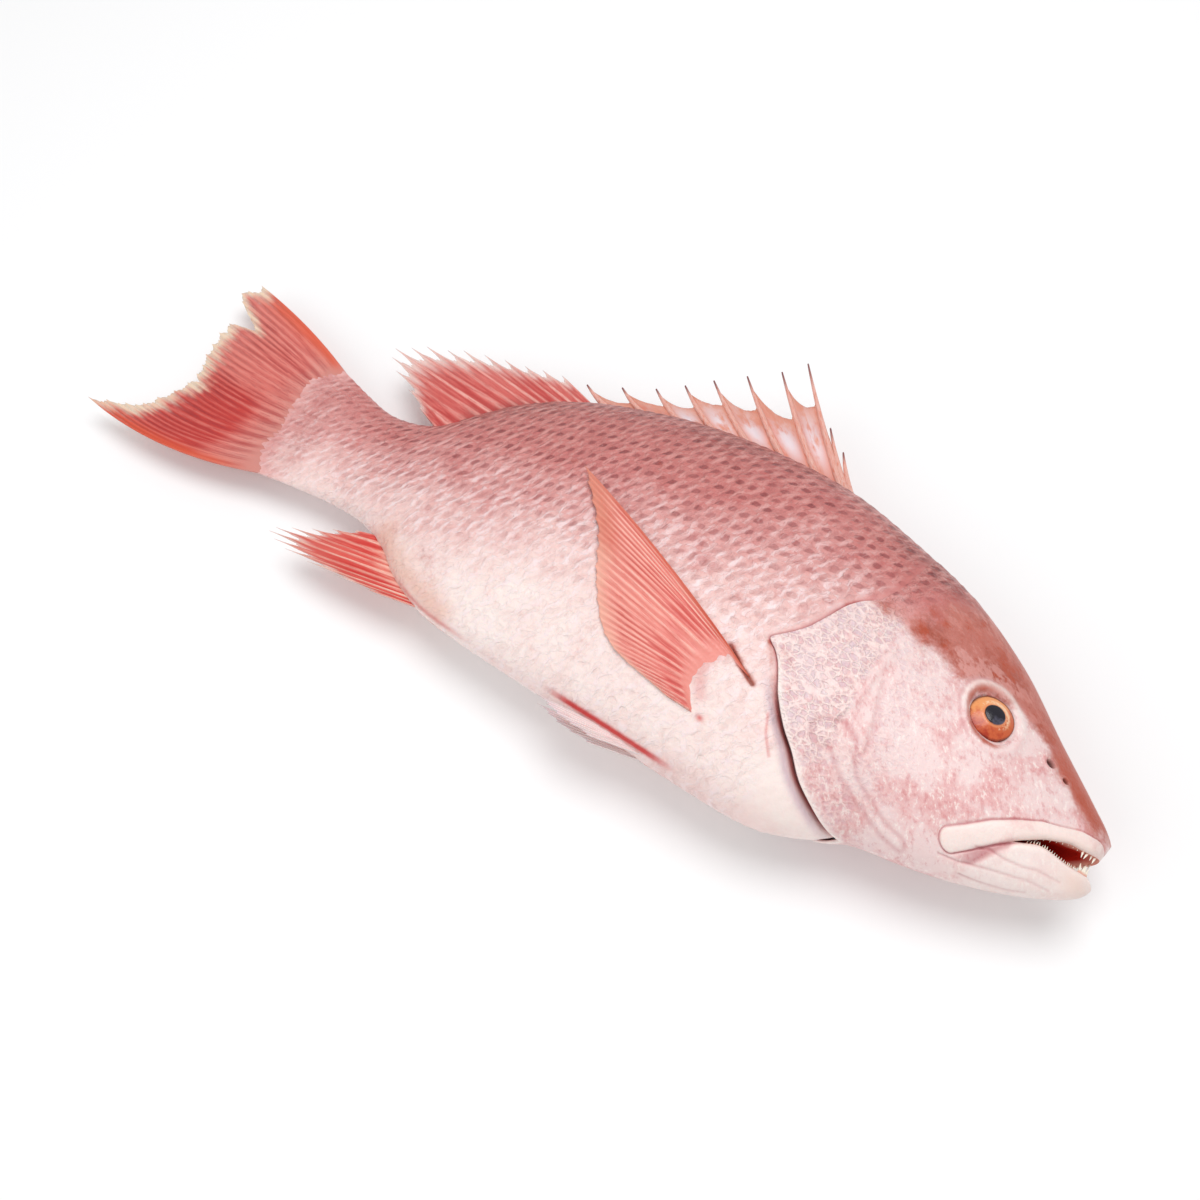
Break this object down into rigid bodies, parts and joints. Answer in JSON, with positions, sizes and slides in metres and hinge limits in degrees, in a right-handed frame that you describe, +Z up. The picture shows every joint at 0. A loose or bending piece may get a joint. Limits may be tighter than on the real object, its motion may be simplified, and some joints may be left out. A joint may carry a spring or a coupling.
{
  "type": "whole raw fish",
  "caption": "Whole raw red snapper lying on its left side, right flank up, with all fins, open gill slit and slightly open mouth; one solid.",
  "frame": {"origin": "middle of the fish's footprint on the table, fins included, at table height", "axes": "+X towards the snout, +Y towards the back, +Z up, away from the table, towards the fish's right flank"},
  "size_m": [0.5238, 0.2272, 0.0675],
  "materials": {
    "skin": "wet scaled skin, pink back and near-white belly",
    "fins": "thin wet red fin web with pale rays",
    "eye": "orange iris, dark pupil, clear wet surface",
    "mouth": "dark red wet lining of mouth and gill",
    "teeth": "small pale pointed teeth"
  },
  "bodies": {
    "root": {"fish": "skin"}
  },
  "joints": []
}
